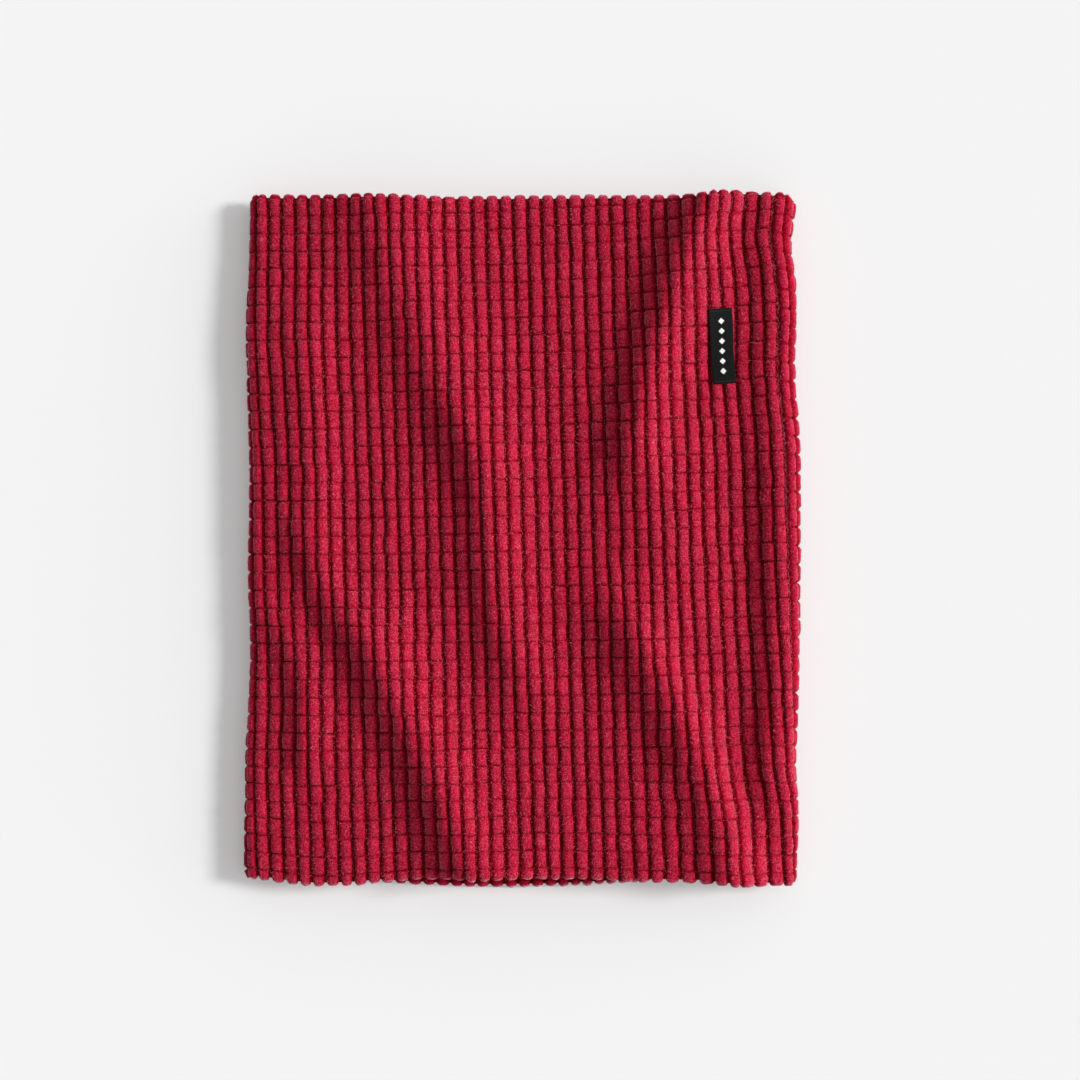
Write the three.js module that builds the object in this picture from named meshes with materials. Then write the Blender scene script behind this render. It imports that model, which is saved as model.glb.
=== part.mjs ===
// Neck gaiter: an open tube of grid fleece, two plies thick, lying flat.
// X runs across the tube from fold to fold, Y runs along it, and Z is up from the surface it lies on.
// The front is the upper half, the back is the flat half underneath. Sizes are in millimetres.
import * as THREE from "three";

// Driving dimensions of the tube
const WIDTH = 240; // laid flat, from side fold to side fold
const LENGTH = 298; // from rim to rim
const FLEECE = 2.0; // thickness of one ply
const PLY_GAP = 1.2; // air between the outer panel and the lining
const FOLD_GAP = 3.2; // free height of the mouth where the side folds begin
const CROWN = 3.4; // how much higher the front stands between its folds
const CROWN_RUN = 30; // width over which the front rises beside each fold
const FACING = 15; // outer panel turned in behind each rim

// Seams
const BUTT = 0.8; // gap between the two edges that a seam joins
const THREAD = 0.5; // thread diameter
const STITCH_HALF_WIDTH = 1.2; // reach of the zigzag to each side of its seam
const STITCH_STEP = 7; // from one point of a side seam's zigzag to the next
const OUTER_SEAM = 45; // degrees round the right fold, from level towards the front
const LINING_SEAM = -45; // degrees round the same fold, towards the back
const CLEARANCE = 0.3; // between pieces that rest on each other

// Woven label on the front
const LABEL_WIDTH = 10.4;
const LABEL_LENGTH = 32.5;
const LABEL_THICKNESS = 0.5;
const LABEL_FROM_FOLD = 34.4; // label centre to the right-hand fold
const LABEL_FROM_RIM = 64.3; // label centre to the top rim
const LABEL_LEAN = 2.5; // degrees, its lower end towards the fold
const LABEL_STITCH_INSET = 1.6; // label end to its row of stitches
const LABEL_STITCH_MARGIN = 1.2; // label side to the end of that row

// Care label, a flap held by one edge at the lining's side seam
const CARE_WIDTH = 14;
const CARE_LENGTH = 30;
const CARE_THICKNESS = 0.5;
const CARE_FROM_RIM = 49; // care label centre to the bottom rim

// Facets
const FRONT_STEPS = 28;
const BACK_STEPS = 6;
const ROW_STEPS = 16;
const FOLD_STEP = 30; // degrees
const RIM_STEPS = 4;
const THREAD_SIDES = 6;
const LABEL_COLUMNS = 2;
const LABEL_ROWS = 6;

// Soft folds in the front: the crest runs through points given as shares of the flat front,
// from -1 at the left or bottom to 1 at the right or top.
const WRINKLE_HALF_WIDTH = 22;
const WRINKLE_FADE = 35; // length over which a wrinkle dies out before a rim
const WRINKLES = [
  { height: 2.6, crest: [[-0.5, 0.9], [-0.24, 0.44], [-0.13, -0.06]] },
  { height: 2.2, crest: [[0.66, 0.95], [0.49, 0.55], [0.41, 0.17]] },
  { height: 3.0, crest: [[-0.58, -0.17], [-0.43, -0.51], [-0.24, -0.87]] },
  { height: 2.6, crest: [[0.41, -0.15], [0.6, -0.5], [0.73, -0.84]] },
];

// What follows from them
const WALL = 2 * FLEECE + PLY_GAP;
const FOLD_RADIUS = WALL + FOLD_GAP / 2;
const RIM_RADIUS = WALL / 2;
const FLAT_HALF = WIDTH / 2 - FOLD_RADIUS;
const RIM_Y = LENGTH / 2 - RIM_RADIUS; // centre of each rim's turn
const FACING_Y = LENGTH / 2 - FACING;
const LINING_Y = FACING_Y - BUTT;
const FABRIC = { color: 0x911828, roughness: 0.95, metalness: 0 };
const FABRIC_INSIDE = { color: 0x7d1524, roughness: 0.95, metalness: 0 };
const SEWING = { color: 0x6b1020, roughness: 0.7, metalness: 0 };
const LABEL_BLACK = { color: 0x16161a, roughness: 0.6, metalness: 0 };
const CARE_WHITE = { color: 0xe6e3dc, roughness: 0.5, metalness: 0 };

const radians = THREE.MathUtils.degToRad;
const ramp = (length, run) => THREE.MathUtils.smoothstep(length, 0, run);

function spread(from, to, steps) {
  return Array.from({ length: steps + 1 }, (_, i) => from + ((to - from) * i) / steps);
}

// Height that one wrinkle adds: a cosine hump across its crest line.
function wrinkleHeight({ height, crest }, x, y) {
  const point = new THREE.Vector3(x, y, 0);
  const nearest = new THREE.Vector3();
  let distance = Infinity;
  for (let i = 1; i < crest.length; i++) {
    const ends = [crest[i - 1], crest[i]].map(
      ([across, along]) =>
        new THREE.Vector3((across * WIDTH) / 2, (along * LENGTH) / 2, 0),
    );
    new THREE.Line3(...ends).closestPointToPoint(point, true, nearest);
    distance = Math.min(distance, nearest.distanceTo(point));
  }
  if (distance > WRINKLE_HALF_WIDTH) return 0;
  return (height * (1 + Math.cos((Math.PI * distance) / WRINKLE_HALF_WIDTH))) / 2;
}

// How far the front stands above the level of its folds.
function lift(x, y) {
  const fromFold = ramp(FLAT_HALF - Math.abs(x), CROWN_RUN);
  const fromRim = ramp(LENGTH / 2 - Math.abs(y), WRINKLE_FADE);
  const wrinkles = WRINKLES.reduce((sum, w) => sum + wrinkleHeight(w, x, y), 0);
  return fromFold * (CROWN + fromRim * wrinkles);
}

// A station is a place round the tube: the centre of its bend and its angle about that centre.
// Depth is measured inwards from the outer face of the tube.
function place({ centre, angle, front }, y, depth) {
  const radius = FOLD_RADIUS - depth;
  const x = centre + radius * Math.cos(radians(angle));
  const z = FOLD_RADIUS + radius * Math.sin(radians(angle));
  return new THREE.Vector3(x, y, front ? z + lift(centre, y) : z);
}

// Angles at which a bend is faceted between two angles, without the ends.
function bendAngles(from, to) {
  const angles = [];
  const least = from + 1;
  for (let a = FOLD_STEP * Math.ceil(least / FOLD_STEP); a < to - 1; a += FOLD_STEP)
    angles.push(a);
  return angles;
}

// Stations right round the tube, from one side of a slit in the right fold to its other side.
function stationsRound(seam, slit, backSteps) {
  const first = seam + slit / 2;
  const last = seam + 360 - slit / 2;
  const bend = (centre, angles) => angles.map((angle) => ({ centre, angle }));
  return [
    ...bend(FLAT_HALF, [first, ...bendAngles(first, 90)]),
    ...spread(FLAT_HALF, -FLAT_HALF, FRONT_STEPS).map((centre) => ({
      centre,
      angle: 90,
      front: true,
    })),
    ...bend(-FLAT_HALF, bendAngles(90, 270)),
    ...spread(-FLAT_HALF, FLAT_HALF, backSteps).map((centre) => ({ centre, angle: 270 })),
    ...bend(FLAT_HALF, [...bendAngles(270, last), last]),
  ];
}

// Degrees of bend that a length takes at a depth.
function degreesOf(length, depth) {
  return THREE.MathUtils.radToDeg(length / (FOLD_RADIUS - depth));
}

// A closed sheet. The profile holds pairs of points along the tube, one on the sheet's skin and
// one on its gap side; it is carried through the stations and closed at both ends and edges.
function sheetGeometry(stations, profile) {
  const skin = profile.map((pair) => pair.skin);
  const gapSide = profile.map((pair) => pair.gap).reverse();
  const loop = [...skin, ...gapSide];
  const points = stations.flatMap((s) => loop.map(({ y, depth }) => place(s, y, depth)));
  const size = loop.length;
  const indices = [];
  const quad = (a, b, c, d) => indices.push(a, b, c, a, c, d);
  for (let i = 0; i < stations.length - 1; i++)
    for (let k = 0; k < size; k++) {
      const here = i * size;
      const next = (k + 1) % size;
      quad(here + k, here + size + k, here + size + next, here + next);
    }
  const end = (stations.length - 1) * size;
  for (let k = 0; k < profile.length - 1; k++) {
    const across = size - 1 - k;
    quad(k, k + 1, across - 1, across);
    quad(end + k, end + across, end + across - 1, end + k + 1);
  }
  return new THREE.BufferGeometry().setFromPoints(points).setIndex(indices);
}

// One end of the outer panel: its U-turn over a rim, from the facing inside to the outside.
function rimTurn(side) {
  return spread(0, 180, RIM_STEPS).map((angle) => {
    const at = (radius) => ({
      y: side * (RIM_Y + radius * Math.sin(radians(angle))),
      depth: RIM_RADIUS + radius * Math.cos(radians(angle)),
    });
    return { skin: at(RIM_RADIUS), gap: at(RIM_RADIUS - FLEECE) };
  });
}

function outerPanel() {
  const facing = (side) => ({
    skin: { y: side * FACING_Y, depth: WALL },
    gap: { y: side * FACING_Y, depth: WALL - FLEECE },
  });
  const outside = spread(RIM_Y, -RIM_Y, ROW_STEPS)
    .slice(1, -1)
    .map((y) => ({ skin: { y, depth: 0 }, gap: { y, depth: FLEECE } }));
  const profile = [
    facing(1),
    ...rimTurn(1),
    ...outside,
    ...rimTurn(-1).reverse(),
    facing(-1),
  ];
  const slit = degreesOf(BUTT, FLEECE / 2);
  return sheetGeometry(stationsRound(OUTER_SEAM, slit, BACK_STEPS), profile);
}

function liningPanel() {
  const profile = spread(LINING_Y, -LINING_Y, ROW_STEPS).map((y) => ({
    skin: { y, depth: WALL },
    gap: { y, depth: WALL - FLEECE },
  }));
  const slit = degreesOf(BUTT, WALL - FLEECE / 2);
  return sheetGeometry(stationsRound(LINING_SEAM, slit, BACK_STEPS), profile.reverse());
}

// A path through the points of a row of stitches, one facet of the thread to each stretch.
class StitchPath extends THREE.Curve {
  constructor(points) {
    super();
    this.points = points;
  }
  getPoint(t, target = new THREE.Vector3()) {
    const along = t * (this.points.length - 1);
    const i = Math.min(Math.floor(along), this.points.length - 2);
    return target.copy(this.points[i]).lerp(this.points[i + 1], along - i);
  }
  getPointAt(t, target) {
    return this.getPoint(t, target);
  }
  getTangentAt(t, target) {
    return this.getTangent(t, target);
  }
}

function threadAlong(points) {
  const section = new THREE.Shape(
    Array.from({ length: THREAD_SIDES }, (_, i) => {
      const angle = (2 * Math.PI * i) / THREAD_SIDES;
      return new THREE.Vector2(Math.cos(angle), Math.sin(angle)).multiplyScalar(THREAD / 2);
    }),
  );
  return new THREE.ExtrudeGeometry(section, {
    steps: points.length - 1,
    extrudePath: new StitchPath(points),
  });
}

// Zigzag in the gap between the plies, along a side seam, from one rim seam to the other.
function sideSeamThread(seam) {
  const reach = LINING_Y - STITCH_HALF_WIDTH - THREAD - CLEARANCE;
  const steps = Math.round((2 * reach) / STITCH_STEP);
  const swing = degreesOf(STITCH_HALF_WIDTH, RIM_RADIUS);
  const points = spread(-reach, reach, steps).map((y, i) => {
    const angle = seam + (i % 2 ? swing : -swing);
    return place({ centre: FLAT_HALF, angle }, y, RIM_RADIUS);
  });
  return threadAlong(points);
}

// Zigzag in the gap between the plies, round the tube, where the facing meets the lining.
function rimSeamThread(side) {
  const seamY = side * (FACING_Y - BUTT / 2);
  const slit = degreesOf(2 * THREAD + CLEARANCE, RIM_RADIUS);
  const stations = stationsRound(LINING_SEAM, slit, FRONT_STEPS);
  let phase = 0;
  const points = stations.map((station, i) => {
    const before = stations[i - 1] ?? station;
    const turned = station.angle - before.angle;
    phase += turned ? turned / 180 : 1;
    const offset = STITCH_HALF_WIDTH * Math.cos(Math.PI * phase);
    return place(station, seamY + offset, RIM_RADIUS);
  });
  return threadAlong(points);
}

// Turns a flat piece to the label's lean, moves it to the label's place and lays it on the front.
function layOnFront(geometry, above) {
  geometry.rotateZ(radians(LABEL_LEAN));
  const x = WIDTH / 2 - LABEL_FROM_FOLD;
  const y = LENGTH / 2 - LABEL_FROM_RIM;
  geometry.translate(x, y, 2 * FOLD_RADIUS + above);
  const at = geometry.getAttribute("position");
  for (let i = 0; i < at.count; i++)
    at.setZ(i, at.getZ(i) + lift(at.getX(i), at.getY(i)));
  return geometry;
}

function wovenLabel() {
  const plate = new THREE.BoxGeometry(
    LABEL_WIDTH,
    LABEL_LENGTH,
    LABEL_THICKNESS,
    LABEL_COLUMNS,
    LABEL_ROWS,
  );
  return layOnFront(plate, CLEARANCE + LABEL_THICKNESS / 2);
}

function labelStitch(side) {
  const y = side * (LABEL_LENGTH / 2 - LABEL_STITCH_INSET);
  const half = LABEL_WIDTH / 2 - LABEL_STITCH_MARGIN;
  const points = spread(-half, half, LABEL_COLUMNS).map((x) => new THREE.Vector3(x, y, 0));
  return layOnFront(threadAlong(points), 2 * CLEARANCE + LABEL_THICKNESS + THREAD / 2);
}

function careLabel() {
  const flap = new THREE.BoxGeometry(CARE_WIDTH, CARE_LENGTH, CARE_THICKNESS);
  const x = FLAT_HALF - CARE_WIDTH / 2;
  const y = -LENGTH / 2 + CARE_FROM_RIM;
  return flap.translate(x, y, WALL + CLEARANCE + CARE_THICKNESS / 2);
}

function named(name, geometry, finish) {
  geometry.computeVertexNormals();
  const mesh = new THREE.Mesh(geometry, new THREE.MeshStandardMaterial(finish));
  mesh.name = name;
  return mesh;
}

const gaiter = new THREE.Group();
gaiter.add(
  named("outer_panel", outerPanel(), FABRIC),
  named("lining_panel", liningPanel(), FABRIC_INSIDE),
  named("outer_side_seam_thread", sideSeamThread(OUTER_SEAM), SEWING),
  named("lining_side_seam_thread", sideSeamThread(LINING_SEAM), SEWING),
  named("top_rim_seam_thread", rimSeamThread(1), SEWING),
  named("bottom_rim_seam_thread", rimSeamThread(-1), SEWING),
  named("woven_label", wovenLabel(), LABEL_BLACK),
  named("label_stitch_top", labelStitch(1), LABEL_BLACK),
  named("label_stitch_bottom", labelStitch(-1), LABEL_BLACK),
  named("care_label", careLabel(), CARE_WHITE),
);

export default gaiter;
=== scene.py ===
"""Looks of a grid-fleece neck gaiter: a two-ply tube lying flat, blocks of pile in ribs and rows.

Lengths are in metres. The tube is described in two developed coordinates: `round_` runs round it,
zero at the middle of the front and growing towards the seamed fold, and `along` runs lengthwise,
zero at mid-length, over the rims and back inside. Depth is measured inwards from the outer face.
"""

import bmesh
import bpy
import numpy as np
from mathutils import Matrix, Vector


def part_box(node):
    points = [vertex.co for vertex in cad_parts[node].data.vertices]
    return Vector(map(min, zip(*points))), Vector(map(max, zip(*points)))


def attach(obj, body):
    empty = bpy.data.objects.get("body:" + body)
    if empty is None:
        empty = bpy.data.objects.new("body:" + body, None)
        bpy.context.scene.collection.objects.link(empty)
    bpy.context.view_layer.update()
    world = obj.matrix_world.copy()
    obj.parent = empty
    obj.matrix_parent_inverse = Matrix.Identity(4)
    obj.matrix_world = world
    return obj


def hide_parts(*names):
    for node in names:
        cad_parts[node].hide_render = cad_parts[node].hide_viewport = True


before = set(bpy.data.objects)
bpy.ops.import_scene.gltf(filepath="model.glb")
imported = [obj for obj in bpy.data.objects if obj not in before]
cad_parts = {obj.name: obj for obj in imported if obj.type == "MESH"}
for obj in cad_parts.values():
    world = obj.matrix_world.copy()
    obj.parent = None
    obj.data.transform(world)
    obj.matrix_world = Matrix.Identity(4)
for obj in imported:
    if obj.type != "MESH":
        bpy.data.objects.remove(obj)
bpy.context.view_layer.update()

MM = 0.001
RNG = np.random.default_rng(7)

# ---------------------------------------------------------------- sizes of the tube, from the frame
panel_low, panel_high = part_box("outer_panel")
lining_low, lining_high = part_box("lining_panel")
WIDTH = panel_high.x - panel_low.x
LENGTH = panel_high.y - panel_low.y
PLY_STEP = lining_low.z - panel_low.z  # outer face of the panel to outer face of the lining
FLEECE = 2.0 * MM  # one ply, knit and pile
WALL = PLY_STEP + FLEECE
FOLD_RADIUS = WALL + 1.6 * MM
FLAT_HALF = WIDTH / 2 - FOLD_RADIUS
FOLD_ARC = np.pi * FOLD_RADIUS
GIRTH = 4 * FLAT_HALF + 2 * FOLD_ARC
RIM_RADIUS = WALL / 2
RIM_AT = LENGTH / 2 - RIM_RADIUS
TURN_RADIUS = RIM_RADIUS - FLEECE / 2
TURN_ARC = np.pi * TURN_RADIUS
LINING_END = lining_high.y
FACING_END = LINING_END + 0.8 * MM
PANEL_END = RIM_AT + TURN_ARC + (RIM_AT - FACING_END)  # developed half length of the outer panel
CROWN = 3.4 * MM
CROWN_RUN = 30 * MM

# ---------------------------------------------------------------- the grid of the fleece
RIBS = 83.11  # ribs round the tube, the last one cut by the seam
RIB = GIRTH / RIBS
ROW = 7.73 * MM
ROW_PHASE = 2.96 * MM
SEAM_AT = 114.3 * MM  # the seam at mid-length
LEAN = 0.0317  # the grain runs round the tube by this much of its length
FLOOR_DEPTH = 1.5 * MM  # knit between the blocks, below the outer face
PILE = 1.68 * MM  # block height above that floor
PRESSED_PILE = 0.35 * MM  # how far below that floor a seam draws the pile
HALF_FRONT = 111 * MM
BACK_FROM, BACK_RUN = -122 * MM, 255 * MM  # where the rows of the back start, and how far they run


# ---------------------------------------------------------------- small formulas
def smooth(t):
    """Three t squared less two t cubed, held at 0 and 1."""
    t = np.clip(t, 0.0, 1.0)
    return t * t * (3 - 2 * t)


def mix(a, b, t):
    return a + (b - a) * t


def through(points, at):
    """Cubic Hermite curve through (place, value) pairs in millimetres, level beyond its ends."""
    place, value = np.array(points, float).T * MM
    slope = np.gradient(value, place)
    i = np.clip(np.searchsorted(place, at) - 1, 0, len(place) - 2)
    span = place[i + 1] - place[i]
    t = np.clip((at - place[i]) / span, 0, 1)
    start = (2 * t**3 - 3 * t**2 + 1) * value[i] + (t**3 - 2 * t**2 + t) * span * slope[i]
    return start + (3 * t**2 - 2 * t**3) * value[i + 1] + (t**3 - t**2) * span * slope[i + 1]


# ---------------------------------------------------------------- how the tube lies
# Insets of the two folds and offsets of the rims from the straight outline: (place, inset), mm.
RIGHT_INSET = [(-139, 1.3), (-115, 0.5), (-100, 1.7), (-67, 0.7), (-35, 0), (4, 0), (43, 0.2),
               (76, 2.2), (95, 1.3), (115, 2.1), (130, 3.7), (141, 2.4), (150, 1.4)]
LEFT_INSET = [(-132, -0.6), (-100, -0.4), (-80, 0.3), (-48, 1.7), (-15, 0.9), (24, 1.7),
              (60, 0.9), (89, 0), (113, 0.9), (141, 1.7)]
TOP_RIM = [(-118, 0.4), (-95, -0.3), (30, -0.5), (78, -0.2), (103, 0.6), (112, 0.2), (118, -1.6)]
BOTTOM_RIM = [(-118, 3.0), (-92, 0.2), (-75, 0.4), (-50, 2.6), (-20, 3.7), (20, 3.6), (55, 2.3),
              (80, 1.5), (100, 0.2), (116, -0.6)]
BACK_BOTTOM_RIM = [(-90, 1.6), (-45, -1.2), (-20, -2.2), (5, -2.0), (35, -0.8), (70, 1.7)]
BACK_TOP_RIM = -1.6 * MM
INSET_FROM, INSET_RUN = 40 * MM, 80 * MM  # an inset grows over this run, from this far off the middle
OFFSET_FROM, OFFSET_RUN = 70 * MM, 79 * MM  # and a rim's offset over this run of the length

# Wrinkles: crest points (along, across), height, width to the left and right, in mm, and the
# lengths over which the crest rises at its lower end and falls at its upper end.
WRINKLES = [
    dict(crest=[(175, -66), (128, -56), (95, -45), (67, -31), (39, -16), (5, -2)],
         height=8.2, left=17, right=24, rise=65, fall=1),
    dict(crest=[(85, -42), (55, -28), (30, -18), (0, -14), (-30, -10), (-60, 0), (-92, 14)],
         height=8.4, left=12, right=15, rise=58, fall=60),
    dict(crest=[(175, 88), (142, 79), (115, 68), (82, 57), (52, 50), (10, 45)],
         height=12.0, left=12, right=14, rise=40, fall=1),
    dict(crest=[(60, 50), (30, 53), (0, 56), (-30, 60), (-60, 64)],
         height=4.4, left=17, right=19, rise=30, fall=50),
    dict(crest=[(-12, -75), (-52, -61), (-76, -50), (-100, -38), (-132, -27), (-175, -14)],
         height=11.3, left=12.5, right=16, rise=1, fall=34),
    dict(crest=[(0, 34), (-26, 41), (-50, 53), (-74, 67), (-95, 77), (-126, 87), (-175, 97)],
         height=10.4, left=15, right=11.5, rise=1, fall=45),
    dict(crest=[(-90, 50), (-125, 56), (-175, 60)],
         height=4.5, left=24, right=20, rise=1, fall=35),
    dict(crest=[(140, -98), (80, -93), (30, -91), (-30, -88)],
         height=3.8, left=22, right=9, rise=50, fall=60),
    dict(crest=[(15, -97), (-3, -93), (-31, -82), (-52, -76)],
         height=3.4, left=7, right=10, rise=15, fall=15),
    dict(crest=[(-20, -112), (-48, -99), (-74, -93), (-108, -92)],
         height=4.5, left=8, right=8, rise=20, fall=25),
    dict(crest=[(175, 110), (100, 109), (50, 109), (-50, 110), (-140, 108)],
         height=5.5, left=9, right=15, rise=30, fall=1),
    dict(crest=[(70, 92), (20, 94), (-125, 97)],
         height=-3.0, left=15, right=9, rise=20, fall=60),
    dict(crest=[(-92, -6), (-125, 2), (-175, 8)],
         height=4.0, left=22, right=34, rise=1, fall=30),
]


def wrinkle(across, along, crest, height, left, right, rise, fall):
    """A bell across a crest line: height times exp(-(distance/width) squared), tapered at its ends."""
    crest = sorted(crest)
    line = through(crest, along)
    low, high = crest[0][0] * MM, crest[-1][0] * MM
    slant = (through(crest, along + MM) - line) / MM
    distance = (across - line) / np.sqrt(1 + slant**2)
    width = np.where(distance < 0, left, right) * MM
    ends = smooth((along - low) / (rise * MM)) * smooth((high - along) / (fall * MM))
    return height * MM * ends * np.exp(-((distance / width) ** 2))


def front_height(across, along):
    """Height of the front above the tops of its folds: crown, then every wrinkle."""
    height = CROWN * smooth((FLAT_HALF - np.abs(across)) / CROWN_RUN)
    for each in WRINKLES:
        height = height + wrinkle(across, along, **each)
    return height


def lay(round_, y, depth):
    """Point of the lying tube.

    Round the section, two flats are joined by half circles of radius FOLD_RADIUS less depth. The
    front's height is added on top, fading down the folds, along the normal of the front's surface.
    """
    r = (round_ + GIRTH / 2) % GIRTH - GIRTH / 2
    past = np.clip(np.abs(r) - FLAT_HALF, 0, FOLD_ARC)
    angle = np.pi / 2 - past / FOLD_RADIUS
    rest = np.clip(np.abs(r) - FLAT_HALF - FOLD_ARC, 0, None)
    centre = np.sign(r) * (np.minimum(np.abs(r), FLAT_HALF) - rest)
    x = centre + np.sign(r) * (FOLD_RADIUS - depth) * np.cos(angle)
    level = (FOLD_RADIUS - depth) * np.sin(angle)
    frontness = smooth((np.sin(angle) + 1) / 2)
    step = 0.5 * MM
    height = front_height(x, y)
    slope_x = (front_height(x + step, y) - height) / step * frontness
    slope_y = (front_height(x, y + step) - height) / step * frontness
    tilt = 1 / np.sqrt(1 + slope_x**2 + slope_y**2)
    z = FOLD_RADIUS + level + height * frontness + depth * frontness * (1 - tilt)
    x = x + depth * slope_x * tilt
    out = y + depth * slope_y * tilt
    x = x - through(RIGHT_INSET, y) * smooth((x - INSET_FROM) / INSET_RUN)
    x = x + through(LEFT_INSET, y) * smooth((-x - INSET_FROM) / INSET_RUN)
    reach = smooth((np.abs(y) - OFFSET_FROM) / OFFSET_RUN)
    top = mix(BACK_TOP_RIM, through(TOP_RIM, x), frontness)
    bottom = mix(through(BACK_BOTTOM_RIM, x), through(BOTTOM_RIM, x), frontness)
    out = out + reach * np.where(y > 0, top, bottom)
    return np.stack([x, out, np.maximum(z, 0.0)], axis=-1)


def roll(along, depth):
    """Outer panel's developed length to (y, depth): straight, half circle over the rim, straight."""
    past = np.abs(along) - RIM_AT
    turn = np.clip(past, 0, TURN_ARC) / TURN_RADIUS
    inside = np.clip(past - TURN_ARC, 0, None)
    radius = RIM_RADIUS - depth
    y = np.minimum(np.abs(along), RIM_AT) + radius * np.sin(turn) - inside
    return np.sign(along) * y, RIM_RADIUS - radius * np.cos(turn)


# ---------------------------------------------------------------- where ribs and rows run
def grain(rib, along):
    """Place round the tube of a rib coordinate: even pitch, a steady lean, more at the lower right."""
    base = SEAM_AT + (rib - RIBS) * RIB
    r = (base + GIRTH / 2) % GIRTH - GIRTH / 2
    swing = smooth((r - 20 * MM) / (90 * MM)) * (1 - smooth((r - 160 * MM) / (80 * MM)))
    below = np.logaddexp(0, (-along - 30 * MM) / (12 * MM)) * 12 * MM
    return base - LEAN * along + 0.07 * swing * below


def course(rib, row):
    """Developed length of a row coordinate: even pitch, plus a rise towards the seamed side.

    Over the front the rise is a tilt times t plus a bow times t squared, t being the place round
    the tube over half the front. Behind it eases from the left fold's value to the seam's.
    """
    along = ROW_PHASE + row * ROW
    base = SEAM_AT + (rib - RIBS) * RIB
    t = base / HALF_FRONT
    tilt = 2.7 * MM + 0.0145 * along
    bow = 1.2 * MM + 0.006 * along
    rise = tilt * t + bow * t * t
    left = -tilt * 1.1 + bow * 1.21
    right = 2.2 * MM + 0.0205 * along
    behind = mix(left, right, smooth((BACK_FROM - base) / BACK_RUN))
    return along + np.where(base > BACK_FROM, rise, behind)


# ---------------------------------------------------------------- the blocks of pile
def block_noise(ribs, rows, spread):
    return RNG.normal(0.0, spread, (ribs + 2, rows + 2))


def pick(table, rib, row, row_zero):
    """Value of a table of (rib, row) at a rib index, eased between the middles of the rows."""
    place = row - row_zero + 0.5
    j = np.clip(np.floor(place).astype(int), 0, table.shape[1] - 2)
    t = smooth(place - j)
    return mix(table[rib, j], table[rib, j + 1], t)


BLOCK_HALF = 0.79  # half width of a block, where half a rib is 1
CORNER_RUN = 0.22  # length of a block's rounded corner, where half a row is 1
CORNER_NIP = 0.16  # how much narrower a block is at its two ends
SHOULDER = 2.6  # power of the rounding across a rib
CREASE = 0.12  # half width of the crease between two rows
DOME = 0.16  # how much lower a block's two ends are


def pile_height(rib, row, taller, cut):
    """Relief of the grid, 0 in the channels to 1 on the blocks.

    Across a rib it is the root of one less a power of the distance from its middle, which rounds
    its shoulders. Across a row a thin bell-shaped crease cuts into it, and the corners are nipped.
    """
    across = np.abs(rib - np.floor(rib) - 0.5) * 2
    lengthwise = np.abs(row - np.floor(row) - 0.5) * 2
    corner = np.clip((lengthwise - (1 - CORNER_RUN)) / CORNER_RUN, 0, 1)
    half = BLOCK_HALF - CORNER_NIP * (1 - np.sqrt(1 - corner**2))
    rounded = np.sqrt(np.clip(1 - (across / half) ** SHOULDER, 0, 1))
    crease = np.exp(-(((1 - lengthwise) / CREASE) ** 2))
    dome = 1 - DOME * lengthwise**4
    return rounded * dome * (1 - crease * cut) * taller


class Grid:
    """The random unevenness of one cloth: each channel wanders, each block has its own height.

    Spreads are in ribs, rows, and shares of the block's height.
    """

    def __init__(self, ribs, rows):
        self.row_zero = -rows // 2
        self.wander = block_noise(ribs, rows, 0.022)
        self.barrel = block_noise(ribs, rows, 0.035)
        self.shift = block_noise(ribs, rows, 0.03)
        self.tall = np.clip(1 + block_noise(ribs, rows, 0.07), 0.8, 1.15)
        self.tone = block_noise(ribs, rows, 1.0)
        self.cut = np.clip(0.58 + block_noise(ribs, rows, 0.2), 0.12, 0.95)
        self.last = ribs

    def at(self, rib, row):
        """Shifted rib and row coordinates, the block's height and tone, and its crease's depth."""
        k = np.clip(np.floor(rib).astype(int), 0, self.last)
        t = rib - np.floor(rib)
        wander = mix(
            pick(self.wander, k, row, self.row_zero),
            pick(self.wander, k + 1, row, self.row_zero),
            t,
        )
        j = np.clip(np.floor(row - self.row_zero).astype(int), 0, self.barrel.shape[1] - 1)
        s = row - np.floor(row)
        wander = wander + mix(self.barrel[k, j], self.barrel[k + 1, j], t) * (1 - (2 * s - 1) ** 4)
        shift = pick(self.shift, k, row, self.row_zero) * (1 - (2 * t - 1) ** 4)
        tall = pick(self.tall, k, row, self.row_zero)
        tone = pick(self.tone, k, row, self.row_zero)
        line = np.clip(np.round(row - self.row_zero).astype(int), 0, self.cut.shape[1] - 1)
        return rib + wander, row + shift, tall, tone, self.cut[k, line]


def pressed(depth, distance, reach):
    """Depth beside a seam: the pile is drawn down to the knit over the seam's reach."""
    return mix(depth, FLOOR_DEPTH + PRESSED_PILE, np.exp(-((distance / reach) ** 2)))


# ---------------------------------------------------------------- making meshes
def samples(start, end, fractions):
    """Grid lines from start to end: each whole number plus the fractions, and both ends."""
    whole = np.arange(np.floor(start), np.ceil(end))
    lines = (whole[:, None] + np.array(fractions)).ravel()
    lines = lines[(lines > start + 1e-6) & (lines < end - 1e-6)]
    return np.concatenate([[start], lines, [end]])


def coarse(lines, step):
    """Indices of about every step-th line, the two ends always among them."""
    return np.unique(np.append(np.arange(0, len(lines) - 1, step), len(lines) - 1))


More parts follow.
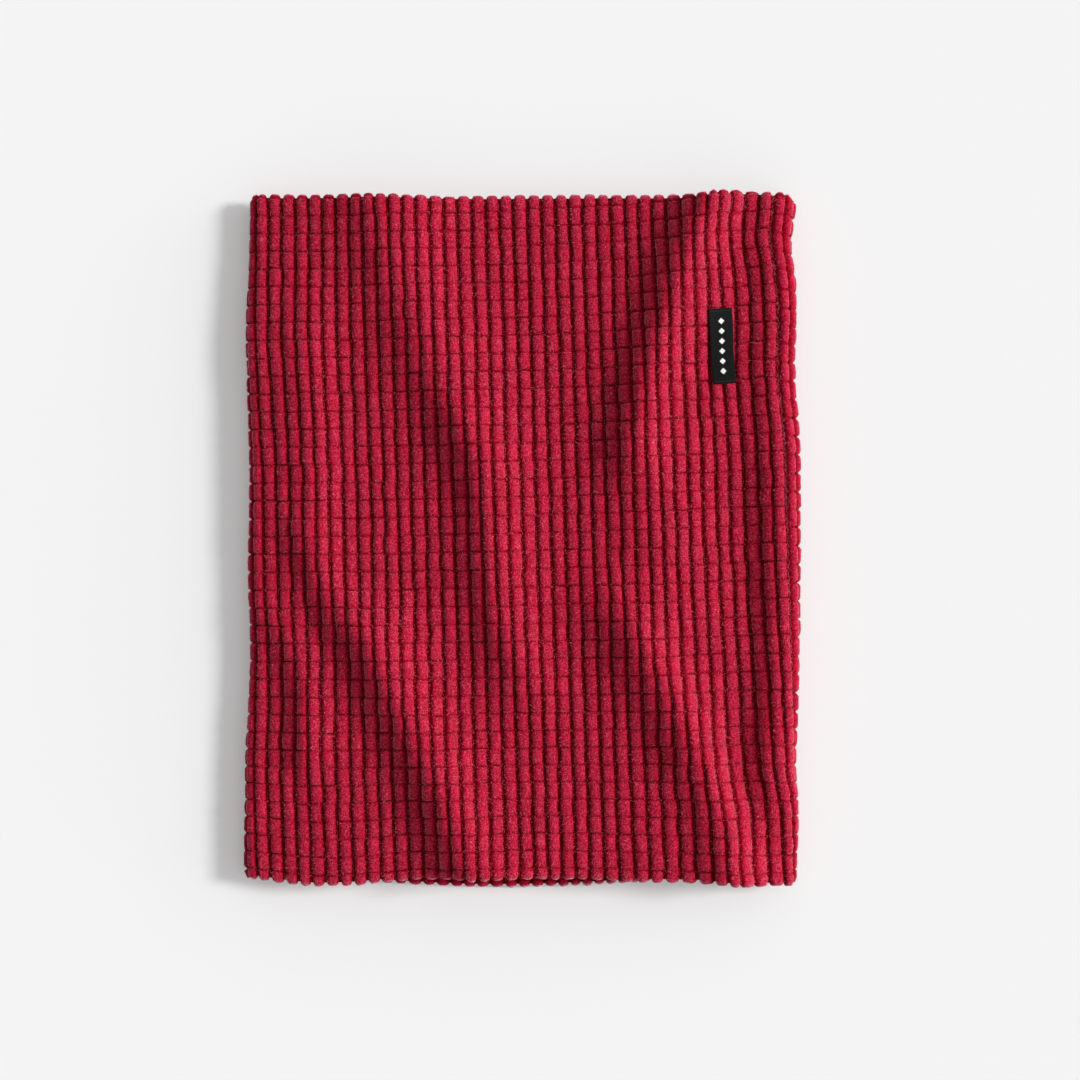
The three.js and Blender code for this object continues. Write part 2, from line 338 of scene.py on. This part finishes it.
def shell(name, skin, back, cols, rows, values):
    """A closed sheet from a fine skin grid and a coarse back grid, joined by a strip round the edge.

    skin is (columns, rows, 3); back holds its columns `cols` and rows `rows`; values are vertex
    attributes on the skin, held at zero on the back.
    """
    nc, nr = skin.shape[:2]
    fine = np.arange(nc * nr).reshape(nc, nr)
    under = nc * nr + np.arange(len(cols) * len(rows)).reshape(len(cols), len(rows))

    def quads(g):
        faces = np.stack([g[:-1, :-1], g[1:, :-1], g[1:, 1:], g[:-1, 1:]], axis=-1)
        return faces.reshape(-1, 4)

    faces = quads(fine).tolist() + quads(under)[:, ::-1].tolist()
    edges = [
        (fine[:, 0], under[:, 0], cols, False),
        (fine[:, -1], under[:, -1], cols, True),
        (fine[0], under[0], rows, True),
        (fine[-1], under[-1], rows, False),
    ]
    for chain, base, stops, flip in edges:
        for i in range(len(stops) - 1):
            strip = list(chain[stops[i]: stops[i + 1] + 1]) + [base[i + 1], base[i]]
            faces.append([int(v) for v in (strip if flip else strip[::-1])])
    mesh = bpy.data.meshes.new(name)
    points = np.concatenate([skin.reshape(-1, 3), back.reshape(-1, 3)])
    mesh.from_pydata(points, [], faces)
    for key, value in values.items():
        layer = mesh.attributes.new(key, "FLOAT", "POINT")
        full = np.zeros(len(points), np.float32)
        full[: nc * nr] = value.ravel()
        layer.data.foreach_set("value", full)
    border = np.zeros(len(points), bool)
    border[np.concatenate([fine[0], fine[-1], fine[:, 0], fine[:, -1]])] = True
    border[np.concatenate([under[0], under[-1], under[:, 0], under[:, -1]])] = True
    edge = mesh.attributes.new("border", "FLOAT", "POINT")
    edge.data.foreach_set("value", border.astype(np.float32))
    return finish_mesh(name, mesh)


def finish_mesh(name, mesh, merge=True):
    """Merges vertices that fell together, shades smooth with hard edges, and makes the object."""
    if merge:
        bm = bmesh.new()
        bm.from_mesh(mesh)
        bmesh.ops.remove_doubles(bm, verts=bm.verts, dist=2e-6)
        bmesh.ops.dissolve_degenerate(bm, dist=1e-6, edges=bm.edges)
        bm.to_mesh(mesh)
        bm.free()
        mesh.shade_smooth()
    mark_border(mesh)
    piece = bpy.data.objects.new(name, mesh)
    bpy.context.scene.collection.objects.link(piece)
    return piece


def mark_border(mesh):
    """Edges whose two ends lie on the sheet's border are sharp."""
    layer = mesh.attributes.get("border")
    if layer is None:
        return
    on = np.zeros(len(mesh.vertices), np.float32)
    layer.data.foreach_get("value", on)
    ends = np.zeros(len(mesh.edges) * 2, np.int32)
    mesh.edges.foreach_get("vertices", ends)
    sharp = (on[ends.reshape(-1, 2)] > 0.5).all(axis=1)
    mesh.edges.foreach_set("use_edge_sharp", sharp)
    mesh.attributes.remove(mesh.attributes["border"])


# ---------------------------------------------------------------- the outer panel
RIB_FACETS = [0, 0.10, 0.14, 0.20, 0.31, 0.5, 0.69, 0.80, 0.86, 0.90]
ROW_FACETS = [0, 0.05, 0.11, 0.2, 0.4, 0.6, 0.8, 0.89, 0.95]
FACING_FACETS = [0, 0.08, 0.5, 0.92]
BACK_ROW_FACETS = [0, 0.06, 0.2, 0.5, 0.8, 0.94]
outer_grid = Grid(84, 48)
LEFT_CHANNEL = 43  # the channel at the left fold where front and back meet
MIDDLE_CHANNEL = 63
LEFT_QUARTER, RIGHT_QUARTER = 53, 73  # channels where the nap of the front is split
FRONT_FIBRES, BACK_FIBRES = 46000, 48000  # fibres in each piece of nap
BACK_RIB_FACETS = [0, 0.07, 0.17, 0.33, 0.5, 0.67, 0.83, 0.93]


def panel_rows(fractions):
    limit = (PANEL_END + 10 * MM) / ROW
    turned = np.ceil((RIM_AT + TURN_ARC) / ROW)
    middle = samples(-turned, turned, fractions)
    low = samples(-limit, -turned, FACING_FACETS)
    high = samples(turned, limit, FACING_FACETS)
    return np.concatenate([low[:-1], middle, high[1:]])


def outer_surface(rib, row, depth=None):
    """Points of the outer panel on grids of rib and row, with their relief and tone."""
    along = course(rib, row)
    held = np.clip(along, -PANEL_END, PANEL_END)
    row = row + (held - along) / ROW
    bent_rib, bent_row, tall, tone, cut = outer_grid.at(rib, row)
    relief = pile_height(rib, bent_row, tall, cut)
    place = grain(bent_rib, held)
    at_seam = np.minimum(rib, RIBS - rib) * RIB
    at_end = smooth(at_seam / (2 * MM))
    place = mix(grain(rib, held), place, at_end)
    if depth is None:
        tuft = RNG.normal(0.0, 0.09 * MM, relief.shape) * relief
        depth = pressed(FLOOR_DEPTH - PILE * relief + tuft, at_seam, 0.9 * MM)
        depth = pressed(depth, PANEL_END - np.abs(held), 1.8 * MM)
    y, inward = roll(held, depth)
    return lay(place, y, inward), relief, tone


def outer_piece(name, first, last, rib_fractions, row_fractions):
    ribs = samples(first, last, rib_fractions)
    rows = panel_rows(row_fractions)
    rib, row = np.meshgrid(ribs, rows, indexing="ij")
    skin, relief, tone = outer_surface(rib, row)
    cols, lines = coarse(ribs, len(rib_fractions) // 2), coarse(rows, len(row_fractions))
    turning = np.abs(np.abs(rows) * ROW - RIM_AT - TURN_ARC / 2) < 9 * MM
    lines = np.union1d(lines, np.flatnonzero(turning))
    back = outer_surface(rib[np.ix_(cols, lines)], row[np.ix_(cols, lines)], FLEECE)[0]
    piece = shell(name, skin, back, cols, lines, {"pile": relief, "tone": tone})
    piece.data.materials.append(fleece)
    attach(piece, "tube")
    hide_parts("outer_panel")
    return piece


FOOT_DEPTH = 0.12 * MM
FIBRE_HALF = 0.08 * MM
THIRD = 2 * np.pi / 3


def nap_piece(name, first, last, count):
    """Loose fibres on the outer panel: slender pyramids, each from the pile towards a random side.

    The foot is a triangle sunk in the pile. The tip lies a fibre's reach away round and along the
    tube, and stands a little above the pile there.
    """
    turned = (RIM_AT + TURN_ARC) / ROW
    rib, row = RNG.uniform(first, last, count), RNG.uniform(-turned, turned, count)
    along = course(rib, row)
    bent_rib, bent_row, tall, _, cut = outer_grid.at(rib, row)
    relief = pile_height(rib, bent_row, tall, cut)
    place = grain(bent_rib, along)
    depth = FLOOR_DEPTH - PILE * relief
    heading = RNG.uniform(0, 2 * np.pi, count)
    reach = RNG.uniform(0.4, 1.2, count) * MM
    rise = (0.05 + 0.6 * RNG.uniform(0, 1, count) ** 1.5) * MM

    def point(aside, ahead, lower):
        held = np.clip(along + ahead, -PANEL_END, PANEL_END)
        y, inward = roll(held, lower)
        return lay(place + aside, y, inward)

    corners = [
        point(FIBRE_HALF * np.cos(heading + k), FIBRE_HALF * np.sin(heading + k), depth + FOOT_DEPTH)
        for k in (0, THIRD, 2 * THIRD)
    ]
    corners.append(point(reach * np.cos(heading), reach * np.sin(heading), depth - rise))
    points = np.stack(corners, axis=1)
    one, two, tip = (points[:, k] - points[:, 0] for k in (1, 2, 3))
    turned_in = (np.cross(one, two) * tip).sum(axis=1) < 0
    points[turned_in] = points[turned_in][:, [0, 2, 1, 3]]
    pyramid = np.array([(0, 2, 1), (0, 1, 3), (1, 2, 3), (2, 0, 3)])
    faces = pyramid + 4 * np.arange(count)[:, None, None]
    mesh = bpy.data.meshes.new(name)
    mesh.from_pydata(points.reshape(-1, 3), [], faces.reshape(-1, 3).tolist())
    piece = finish_mesh(name, mesh, merge=False)
    piece.data.materials.append(loose_fibre)
    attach(piece, "tube")
    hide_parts("outer_panel")
    return piece


# ---------------------------------------------------------------- the lining
LINING_SEAM = FLAT_HALF + FOLD_RADIUS * np.radians(135)
LINING_RIBS = 78
LINING_RIB_FACETS = [0, 0.08, 0.25, 0.5, 0.75, 0.92]
LINING_ROW_FACETS = [0, 0.06, 0.3, 0.7, 0.94]
lining_grid = Grid(LINING_RIBS, 42)


def lining_round(rib):
    """Place round the tube of a lining rib: the folds are tighter inside, so they take fewer ribs."""
    inner = np.pi * (FOLD_RADIUS - WALL + FLEECE / 2)
    girth = 4 * FLAT_HALF + 2 * inner
    length = rib / LINING_RIBS * girth - inner * 0.75
    stops, marks = (
        np.cumsum([-fold * 0.75, fold * 0.75, 2 * FLAT_HALF, fold, 2 * FLAT_HALF, fold / 4])
        for fold in (inner, FOLD_ARC)
    )
    return FLAT_HALF - np.interp(length, stops, marks)


def lining_surface(rib, row, depth=None):
    """Points of the lining on grids of rib and row; its blocks face the wearer."""
    along = np.clip(row * ROW, -LINING_END, LINING_END)
    row = along / ROW
    bent_rib, _, tall, tone, cut = lining_grid.at(rib, row)
    relief = pile_height(rib, row, tall, cut)
    edge = smooth(np.minimum(rib, LINING_RIBS - rib))
    place = lining_round(mix(rib, bent_rib, edge))
    if depth is None:
        depth = pressed(FLOOR_DEPTH - PILE * relief, LINING_END - np.abs(along), 1.8 * MM)
        depth = pressed(depth, np.minimum(rib, LINING_RIBS - rib) * RIB, 1.7 * MM)
    return lay(place, along, WALL - depth), relief, tone


def lining_piece():
    ribs = samples(0, LINING_RIBS, LINING_RIB_FACETS)
    limit = np.ceil(LINING_END / ROW)
    rows = samples(-limit, limit, LINING_ROW_FACETS)
    rib, row = np.meshgrid(ribs, rows, indexing="ij")
    skin, relief, tone = lining_surface(rib, row)
    cols, lines = coarse(ribs, 3), coarse(rows, 5)
    back = lining_surface(rib[np.ix_(cols, lines)], row[np.ix_(cols, lines)], FLEECE)[0]
    piece = shell("lining", skin, back, cols, lines, {"pile": relief, "tone": tone})
    piece.data.materials.append(fleece)
    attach(piece, "tube")
    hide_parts("lining_panel")
    return piece


# ---------------------------------------------------------------- finishes
def new_material(name):
    made = bpy.data.materials.new(name)
    made.use_nodes = True
    nodes, links = made.node_tree.nodes, made.node_tree.links
    return made, nodes, links, nodes["Principled BSDF"]


def noise(nodes, links, coords, scale, detail=3.0, rough=0.6):
    node = nodes.new("ShaderNodeTexNoise")
    node.inputs["Scale"].default_value = scale
    node.inputs["Detail"].default_value = detail
    node.inputs["Roughness"].default_value = rough
    links.new(coords, node.inputs["Vector"])
    return node.outputs["Fac"]


def math(nodes, links, kind, a, b=None, c=None):
    node = nodes.new("ShaderNodeMath")
    node.operation = kind
    for socket, value in zip(node.inputs, (a, b, c)):
        if value is None:
            continue
        if isinstance(value, (int, float)):
            socket.default_value = value
        else:
            links.new(value, socket)
    return node.outputs[0]


def ramp(nodes, links, fac, stops):
    node = nodes.new("ShaderNodeValToRGB")
    elements = node.color_ramp.elements
    while len(elements) < len(stops):
        elements.new(0.5)
    for element, (place, colour) in zip(elements, stops):
        element.position = place
        element.color = (*colour, 1)
    links.new(fac, node.inputs["Fac"])
    return node.outputs["Color"]


def fleece_finish():
    """Burgundy pile: channels darker, partly the knit's own colour and partly painted shade; fibres as
    fine speckle, partly painted highlight and shade; a paler nap on top.
    """
    made, nodes, links, shader = new_material("burgundy_fleece")
    coords = nodes.new("ShaderNodeTexCoord").outputs["Object"]
    pile = nodes.new("ShaderNodeAttribute")
    pile.attribute_name = "pile"
    tone = nodes.new("ShaderNodeAttribute")
    tone.attribute_name = "tone"
    fibre = noise(nodes, links, coords, 1350, 2, 0.6)
    clump = noise(nodes, links, coords, 620, 2)
    cloud = noise(nodes, links, coords, 45, 2)
    # Painted shade: the colour darkens from the block tops down into the channels, over the darker knit
    # there.
    depth = ramp(nodes, links, pile.outputs["Fac"], [
        (0.0, (0.12, 0.0006, 0.004)),
        (0.5, (0.29, 0.003, 0.016)),
        (0.95, (0.385, 0.010, 0.037)),
    ])
    # Painted highlight and shade: the speckle follows the bump's fibre noise, pale pink on its rises
    # and dark in its hollows.
    speckle_light_and_shade = ramp(nodes, links, fibre, [
        (0.30, (0.55, 0.30, 0.38)),
        (0.50, (0.98, 0.85, 0.90)),
        (0.70, (1.55, 2.8, 2.1)),
    ])
    # Partly painted shade and highlight: the clump noise also raises the bump, so the colour is darker
    # in its hollows and lighter on its rises. Cloud and block tone are the pile's own random tone.
    even = math(nodes, links, "MULTIPLY_ADD", clump, 0.9, 0.55)
    even = math(nodes, links, "MULTIPLY", even, math(nodes, links, "MULTIPLY_ADD", cloud, 0.3, 0.85))
    even = math(nodes, links, "MULTIPLY", even,
                math(nodes, links, "MULTIPLY_ADD", tone.outputs["Fac"], 0.035, 1.0))
    tint = nodes.new("ShaderNodeVectorMath")
    tint.operation = "MULTIPLY"
    links.new(depth, tint.inputs[0])
    links.new(speckle_light_and_shade, tint.inputs[1])
    # Base colour: the pile's own colours and random tone, carrying the painted shade and highlight from
    # above.
    colour_with_painted_shade = nodes.new("ShaderNodeVectorMath")
    colour_with_painted_shade.operation = "SCALE"
    links.new(tint.outputs[0], colour_with_painted_shade.inputs[0])
    links.new(even, colour_with_painted_shade.inputs["Scale"])
    links.new(colour_with_painted_shade.outputs[0], shader.inputs["Base Color"])
    shader.inputs["Roughness"].default_value = 1.0
    shader.inputs["Specular IOR Level"].default_value = 0.0
    nap = math(nodes, links, "POWER", pile.outputs["Fac"], 1.5)
    links.new(math(nodes, links, "MINIMUM", nap, 1.0), shader.inputs["Sheen Weight"])
    shader.inputs["Sheen Roughness"].default_value = 0.35
    shader.inputs["Sheen Tint"].default_value = (1.0, 0.50, 0.58, 1)
    height = math(nodes, links, "MULTIPLY_ADD", clump, 0.7, fibre)
    bump = nodes.new("ShaderNodeBump")
    bump.inputs["Strength"].default_value = 0.9
    bump.inputs["Distance"].default_value = 0.6 * MM
    links.new(height, bump.inputs["Height"])
    links.new(bump.outputs["Normal"], shader.inputs["Normal"])
    return made


def fibre_finish():
    """Single fibres that left the pile: paler than it, each length of them in a slightly other tone."""
    made, nodes, links, shader = new_material("loose_pink_fibre")
    coords = nodes.new("ShaderNodeTexCoord").outputs["Object"]
    tone = noise(nodes, links, coords, 900, 1)
    shade = ramp(nodes, links, tone, [(0.35, (0.44, 0.020, 0.050)), (0.65, (0.82, 0.15, 0.22))])
    links.new(shade, shader.inputs["Base Color"])
    shader.inputs["Roughness"].default_value = 0.8
    shader.inputs["Specular IOR Level"].default_value = 0.1
    return made


fleece = fleece_finish()
loose_fibre = fibre_finish()


# ---------------------------------------------------------------- seams, threads and labels
SIDES = 8
ASKEW = (0.31, 0.17, 0.93)  # a direction that no thread follows, to turn its rings from
PLY_TWIST = 0.9 * MM  # length of one turn of the yarn


def thread(name, path, radius, closed, material, node):
    """A tube of eight sides swept along a path, its ring square to the path, its ends capped."""
    ahead = np.roll(path, -1, axis=0) if closed else np.vstack([path[1:], 2 * path[-1] - path[-2]])
    behind = np.roll(path, 1, axis=0) if closed else np.vstack([2 * path[0] - path[1], path[:-1]])
    tangent = ahead - behind
    tangent /= np.linalg.norm(tangent, axis=1, keepdims=True)
    across = np.cross(tangent, ASKEW)
    across /= np.linalg.norm(across, axis=1, keepdims=True)
    other = np.cross(tangent, across)
    turn = np.arange(SIDES) * 2 * np.pi / SIDES
    ring = across[:, None] * np.cos(turn)[:, None] + other[:, None] * np.sin(turn)[:, None]
    points = (path[:, None] + radius * ring).reshape(-1, 3)
    count = len(path)
    index = np.arange(count * SIDES).reshape(count, SIDES)
    after = np.roll(index, -1, axis=0) if closed else index[1:]
    start = index if closed else index[:-1]
    faces = np.stack([start, np.roll(start, -1, 1), np.roll(after, -1, 1), after], axis=-1)
    faces = faces.reshape(-1, 4).tolist()
    if not closed:
        faces += [index[0][::-1].tolist(), index[-1].tolist()]
    mesh = bpy.data.meshes.new(name)
    mesh.from_pydata(points, [], faces)
    run = np.cumsum(np.linalg.norm(path - np.roll(path, 1, axis=0), axis=1))
    twist = mesh.attributes.new("twist", "FLOAT", "POINT")
    turns = run[:, None] / PLY_TWIST + turn / (2 * np.pi)
    twist.data.foreach_set("value", turns.astype(np.float32).ravel())
    piece = finish_mesh(name, mesh)
    piece.data.materials.append(material)
    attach(piece, "tube")
    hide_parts(node)


def zigzag(length, pitch, closed):
    """Steps along a seam and the side swing from -1 to 1: a sine sharpened towards its turns."""
    turns = int(round(length / pitch))
    count = turns * 10 + (0 if closed else 1)
    t = np.arange(count) / 10
    swing = np.sin(2 * np.pi * t)
    return t / turns * length, swing * (1.25 - 0.25 * swing**2)


STITCH = 3.4 * MM
OUTER_YARN, INNER_YARN = 0.16 * MM, 0.2 * MM  # radii
SUNK = 0.3 * MM  # from the knit to the middle of a seam's yarn


def seam_threads():
    """Overlock threads: zigzags along both side seams and round both facings."""
    span = 2 * RIM_AT
    step, swing = zigzag(span, STITCH, False)
    along = step - span / 2
    place = grain(np.full_like(along, RIBS), along) + swing * 0.5 * MM
    path = lay(place, along, FLOOR_DEPTH + SUNK - 0.15 * MM * np.abs(swing))
    thread("outer_side_seam", path, OUTER_YARN, False,
           seam_yarn, "outer_side_seam_thread")
    span = 2 * LINING_END - 3 * MM
    step, swing = zigzag(span, STITCH, False)
    along = step - span / 2
    path = lay(LINING_SEAM + swing * 1.1 * MM, along, WALL - FLOOR_DEPTH + SUNK)
    thread("lining_side_seam", path, INNER_YARN, False,
           seam_yarn, "lining_side_seam_thread")
    for name, sign in (("top_rim_seam", 1), ("bottom_rim_seam", -1)):
        step, swing = zigzag(GIRTH, STITCH, True)
        y = sign * ((LINING_END + FACING_END) / 2 + swing * 1.2 * MM)
        path = lay(step, y, np.full_like(step, WALL - FLOOR_DEPTH + SUNK))
        thread(name, path, INNER_YARN, True, seam_yarn, name + "_thread")


LABEL_AT = (86.6 * MM, 83.2 * MM)
LABEL_SIZE = (10.4 * MM, 32.5 * MM)
LABEL_LEAN = np.radians(4.4)


def on_label(u, v, lift):
    """Point of the label: u across and v up from its middle, leaning, resting on the blocks."""
    x = LABEL_AT[0] + u * np.cos(LABEL_LEAN) - v * np.sin(LABEL_LEAN)
    y = LABEL_AT[1] + v * np.cos(LABEL_LEAN) + u * np.sin(LABEL_LEAN)
    return lay(x, y, -lift)


def ribbon(name, across, along, place, thickness, corner):
    """Closed ribbon on a grid: its half width shrinks to a quarter circle at the four corners."""
    columns, lines, step = 41, 101, 4  # the back takes every step-th of them
    s, t = np.meshgrid(np.linspace(-1, 1, columns), np.linspace(-1, 1, lines), indexing="ij")
    v = t * along / 2
    near = np.clip((np.abs(v) - along / 2 + corner) / corner, 0, 1)
    u = s * (across / 2 - corner * (1 - np.sqrt(1 - near**2)))
    edge = np.minimum(across / 2 - np.abs(u), along / 2 - np.abs(v))
    thin = 1 - 0.35 * np.exp(-((edge / (0.35 * MM)) ** 2))
    weave = 0.02 * MM * np.sin(u / (0.32 * MM) * 2 * np.pi) * np.sin(v / (0.28 * MM) * 2 * np.pi)
    skin = place(u, v, thickness * thin + weave)
    back = place(u, v, np.zeros_like(u))
    cols, rows = np.arange(0, columns, step), np.arange(0, lines, step)
    values = {"across_mm": u / MM, "along_mm": v / MM}
    return shell(name, skin, back[np.ix_(cols, rows)], cols, rows, values)


def labels():
    """The black woven label with its two rows of stitches, and the satin care label inside."""
    piece = ribbon("woven_label_cloth", *LABEL_SIZE, lambda u, v, h: on_label(u, v, 0.3 * MM + h),
                   0.4 * MM, 0.7 * MM)
    piece.data.materials.append(label_weave)
    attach(piece, "tube")
    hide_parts("woven_label")
    for name, node, side in (("label_stitches_top", "label_stitch_top", 1),
                             ("label_stitches_bottom", "label_stitch_bottom", -1)):
        u = np.linspace(-4.6, 4.6, 93) * MM
        stitch = u / (1.15 * MM) * np.pi
        lift = 0.62 * MM + 0.16 * MM * np.cos(2 * stitch)
        v = side * (LABEL_SIZE[1] / 2 - 1.1 * MM) + 0.05 * MM * np.sin(stitch)
        thread(name, on_label(u, v, lift), 0.13 * MM, False, label_yarn, node)
    low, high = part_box("care_label")
    size = (high.x - low.x, high.y - low.y)
    middle = ((low.x + high.x) / 2, (low.y + high.y) / 2)

    def lying(u, v, h):
        free = (size[0] / 2 - u) / size[0]
        curl = 0.35 * MM * smooth((free - 0.35) / 0.65) + 0.1 * MM * np.sin(v / size[1] * 9) * free
        return np.stack([middle[0] + u, middle[1] + v, low.z + 0.05 * MM + curl + h], axis=-1)

    piece = ribbon("care_label_ribbon", *size, lying, 0.3 * MM, 0.4 * MM)
    piece.data.materials.append(care_satin)
    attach(piece, "care_flap")
    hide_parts("care_label")


def read(nodes, name):
    node = nodes.new("ShaderNodeAttribute")
    node.attribute_name = name
    return node.outputs["Fac"]


def yarn_finish(name, light, dark):
    """Twisted thread: slanting ridges round the strand, light on the ridges and darker in the grooves,
    the dark being painted shade.
    """
    made, nodes, links, shader = new_material(name)
    wave = math(nodes, links, "SINE", math(nodes, links, "MULTIPLY", read(nodes, "twist"), 2 * np.pi))
    wave = math(nodes, links, "MULTIPLY_ADD", wave, 0.5, 0.5)
    # Painted shade: the dark colour lies where the wave of the bump is low, in the grooves.
    links.new(ramp(nodes, links, wave, [(0.1, dark), (0.8, light)]), shader.inputs["Base Color"])
    bump = nodes.new("ShaderNodeBump")
    bump.inputs["Strength"].default_value = 0.7
    bump.inputs["Distance"].default_value = 0.06 * MM
    links.new(wave, bump.inputs["Height"])
    links.new(bump.outputs["Normal"], shader.inputs["Normal"])
    shader.inputs["Roughness"].default_value = 0.55
    shader.inputs["Specular IOR Level"].default_value = 0.35
    return made


def woven_finish(name, ground, pattern, mark, gloss):
    """Ribbon weave: two crossed sets of yarns; `mark` is a node output of 0 to 1 for the pattern."""
    made, nodes, links, shader = new_material(name)
    u, v = read(nodes, "across_mm"), read(nodes, "along_mm")
    warp = math(nodes, links, "SINE", math(nodes, links, "MULTIPLY", u, 2 * np.pi / 0.36))
    weft = math(nodes, links, "SINE", math(nodes, links, "MULTIPLY", v, 2 * np.pi / 0.3))
    weave = math(nodes, links, "MULTIPLY", warp, weft)
    weave = math(nodes, links, "MULTIPLY_ADD", weave, 0.5, 0.5)
    shade = nodes.new("ShaderNodeMix")
    shade.data_type = "RGBA"
    shade.inputs["A"].default_value = (*ground, 1)
    shade.inputs["B"].default_value = (*pattern, 1)
    links.new(mark(nodes, links, u, v), shade.inputs["Factor"])
    # Painted shade: the colour scales down where the weave's bump is low, between the yarns.
    tone = nodes.new("ShaderNodeVectorMath")
    tone.operation = "SCALE"
    links.new(shade.outputs["Result"], tone.inputs[0])
    links.new(math(nodes, links, "MULTIPLY_ADD", weave, 0.5, 0.7), tone.inputs["Scale"])
    links.new(tone.outputs[0], shader.inputs["Base Color"])
    bump = nodes.new("ShaderNodeBump")
    bump.inputs["Strength"].default_value = 0.5
    bump.inputs["Distance"].default_value = 0.06 * MM
    links.new(weave, bump.inputs["Height"])
    links.new(bump.outputs["Normal"], shader.inputs["Normal"])
    shader.inputs["Roughness"].default_value = gloss
    shader.inputs["Specular IOR Level"].default_value = 0.12
    return made


def diamonds(nodes, links, u, v):
    """1 inside each of a column of six small diamonds: |u| plus |v from its centre| under a size."""
    step, reach = 4.3, 1.35  # mm
    cell = math(nodes, links, "PINGPONG", math(nodes, links, "ADD", v, 8 * step), step / 2)
    apart = math(nodes, links, "SUBTRACT", step / 2, cell)
    size = math(nodes, links, "ADD", math(nodes, links, "ABSOLUTE", u), apart)
    inside = math(nodes, links, "LESS_THAN", size, reach)
    ends = math(nodes, links, "LESS_THAN", math(nodes, links, "ABSOLUTE", v), 3 * step)
    return math(nodes, links, "MULTIPLY", inside, ends)


def hems(nodes, links, u, v):
    """1 on two thin bands near the ribbon's ends, 0 elsewhere."""
    middle, half = 11.5, 0.35  # mm
    off = math(nodes, links, "SUBTRACT", math(nodes, links, "ABSOLUTE", v), middle)
    return math(nodes, links, "LESS_THAN", math(nodes, links, "ABSOLUTE", off), half)


seam_yarn = yarn_finish("burgundy_seam_yarn", (0.22, 0.010, 0.022), (0.09, 0.003, 0.008))
label_yarn = yarn_finish("black_label_yarn", (0.03, 0.03, 0.032), (0.008, 0.008, 0.009))
label_weave = woven_finish("black_damask_label", (0.0030, 0.0030, 0.0036), (0.72, 0.72, 0.70),
                           diamonds, 0.75)
care_satin = woven_finish("white_satin_ribbon", (0.74, 0.73, 0.70), (0.45, 0.44, 0.43),
                          hems, 0.42)


# ---------------------------------------------------------------- stage, light and camera
def studio():
    """Pale floor, a room brighter towards +X, a low soft panel on that side and a key above it."""
    elevation, towards = np.radians(34), np.radians(10)
    floor_mesh = bpy.data.meshes.new("floor")
    half = 60.0
    floor_mesh.from_pydata(
        [(-half, -half, 0), (half, -half, 0), (half, half, 0), (-half, half, 0)], [], [(0, 1, 2, 3)]
    )
    floor = bpy.data.objects.new("floor", floor_mesh)
    floor.location.z = -0.02 * MM
    bpy.context.scene.collection.objects.link(floor)
    made, _, _, shader = new_material("paper_floor")
    shader.inputs["Base Color"].default_value = (0.6, 0.6, 0.6, 1)
    shader.inputs["Emission Color"].default_value = (1, 1, 1, 1)
    shader.inputs["Emission Strength"].default_value = 0.2
    shader.inputs["Roughness"].default_value = 1.0
    shader.inputs["Specular IOR Level"].default_value = 0.0
    floor_mesh.materials.append(made)
    world = bpy.data.worlds.new("soft_room")
    bpy.context.scene.world = world
    world.use_nodes = True
    nodes, links = world.node_tree.nodes, world.node_tree.links
    side = nodes.new("ShaderNodeVectorMath")
    side.operation = "DOT_PRODUCT"
    links.new(nodes.new("ShaderNodeTexCoord").outputs["Generated"], side.inputs[0])
    side.inputs[1].default_value = (np.cos(towards), np.sin(towards), 0)
    room = math(nodes, links, "MULTIPLY_ADD", side.outputs["Value"], 0.43, 0.55)
    panel = math(nodes, links, "MULTIPLY_ADD", side.outputs["Value"], 20.0, -16.0)
    strength = math(nodes, links, "ADD", room, math(nodes, links, "MAXIMUM", panel, 0.0))
    seen = nodes.new("ShaderNodeMix")
    links.new(nodes.new("ShaderNodeLightPath").outputs["Is Camera Ray"], seen.inputs["Factor"])
    links.new(strength, seen.inputs["A"])
    seen.inputs["B"].default_value = 0.9
    links.new(seen.outputs["Result"], nodes["Background"].inputs["Strength"])
    nodes["Background"].inputs["Color"].default_value = (1, 1, 1, 1)
    key = bpy.data.lights.new("key", "SUN")
    key.energy = 3.07
    key.angle = np.radians(14)
    lamp = bpy.data.objects.new("key", key)
    lamp.rotation_euler = (0, np.pi / 2 - elevation, towards)
    bpy.context.scene.collection.objects.link(lamp)


def camera():
    """Straight above, looking down, its frame 468 mm wide at the height of the folds."""
    lens, sensor = 85.0, 36.0
    view_width = 467.9 * MM
    data = bpy.data.cameras.new("camera")
    data.lens, data.sensor_width = lens, sensor
    data.clip_start, data.clip_end = 0.05, 20
    eye = bpy.data.objects.new("camera", data)
    eye.location = (7.4 * MM, 0, FOLD_RADIUS + view_width * lens / sensor)
    bpy.context.scene.collection.objects.link(eye)
    bpy.context.scene.camera = eye


bpy.context.scene.view_settings.view_transform = "Standard"
camera()
studio()
outer_piece("outer_front_right", MIDDLE_CHANNEL, RIBS, RIB_FACETS, ROW_FACETS)
outer_piece("outer_front_left", LEFT_CHANNEL, MIDDLE_CHANNEL, RIB_FACETS, ROW_FACETS)
outer_piece("outer_back", 0, LEFT_CHANNEL, BACK_RIB_FACETS, BACK_ROW_FACETS)
lining_piece()
nap_piece("nap_front_seam_side", RIGHT_QUARTER, RIBS, FRONT_FIBRES)
nap_piece("nap_front_right", MIDDLE_CHANNEL, RIGHT_QUARTER, FRONT_FIBRES)
nap_piece("nap_front_left", LEFT_QUARTER, MIDDLE_CHANNEL, FRONT_FIBRES)
nap_piece("nap_front_fold_side", LEFT_CHANNEL, LEFT_QUARTER, FRONT_FIBRES)
nap_piece("nap_back", 0, LEFT_CHANNEL, BACK_FIBRES)
seam_threads()
labels()
